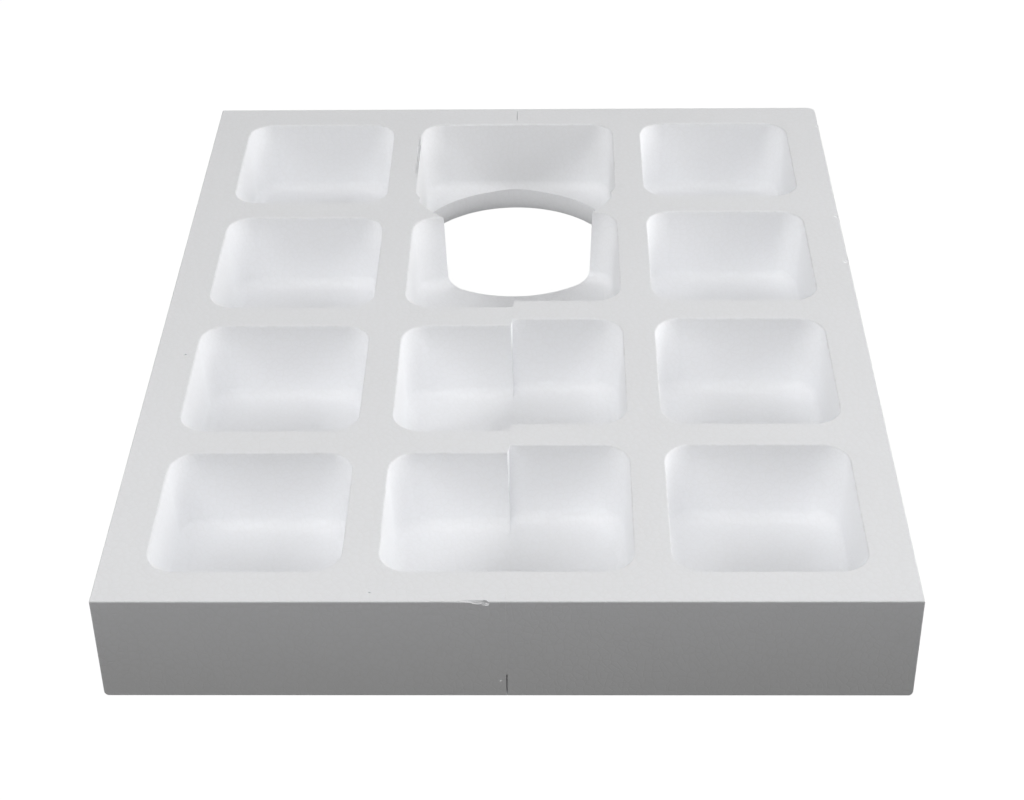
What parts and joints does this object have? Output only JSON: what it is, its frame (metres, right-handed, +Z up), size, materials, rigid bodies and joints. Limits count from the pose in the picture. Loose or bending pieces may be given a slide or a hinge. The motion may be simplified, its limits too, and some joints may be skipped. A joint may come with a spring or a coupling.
{
  "type": "pocketed foam tray",
  "caption": "Two-part white foam insulating tray with open rounded pockets and a round through hole that closes round a neck.",
  "frame": {"origin": "centre of the underside's bounding rectangle, on the seam between the two halves", "axes": "+Z up, out of the pocket mouths; the seam lies in the plane X = 0; +Y points to the end with the round hole; the left half is at -X"},
  "size_m": [0.3, 0.38, 0.046],
  "materials": {
    "foam": "matte",
    "peg_plastic": "satin"
  },
  "bodies": {
    "left_half": {"left_half_tray": "foam", "front_locating_peg": "peg_plastic", "rear_locating_peg": "peg_plastic"},
    "right_half": {"right_half_tray": "foam"}
  },
  "joints": [
    {"name": "right_half_slide", "type": "slide", "parent": "left_half", "child": "right_half", "axis": [1, 0, 0], "range_m": [0, 0.1]}
  ]
}
